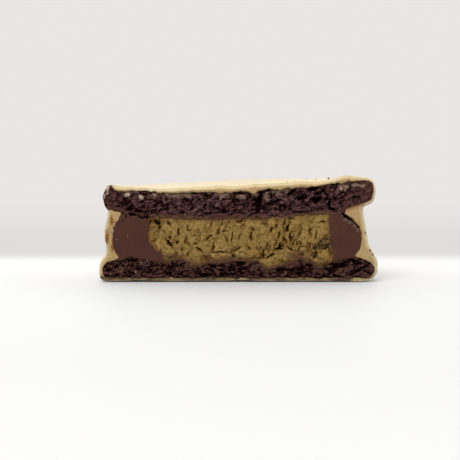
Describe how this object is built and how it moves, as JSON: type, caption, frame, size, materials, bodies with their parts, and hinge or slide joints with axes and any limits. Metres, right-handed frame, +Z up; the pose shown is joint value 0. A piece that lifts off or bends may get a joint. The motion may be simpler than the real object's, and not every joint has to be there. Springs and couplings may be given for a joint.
{
  "type": "alfajor cookie half",
  "caption": "Half of a round filled sandwich biscuit in a pale coat, cut straight through to show biscuits, ganache ring and cream core.",
  "frame": {"origin": "centre of the bounding box of the flat base, which the half stands on", "axes": "+X along the cut, towards the end where the top is higher; the cut faces -Y and the round back +Y; +Z up through the layers"},
  "size_m": [0.066, 0.033, 0.0255],
  "materials": {
    "coat": "satin",
    "biscuit": "crumbly",
    "ganache": "smooth",
    "cream": "torn"
  },
  "bodies": {
    "root": {"coating": "coat", "top_biscuit": "biscuit", "bottom_biscuit": "biscuit", "ganache_ring": "ganache", "pistachio_cream": "cream"}
  },
  "joints": []
}
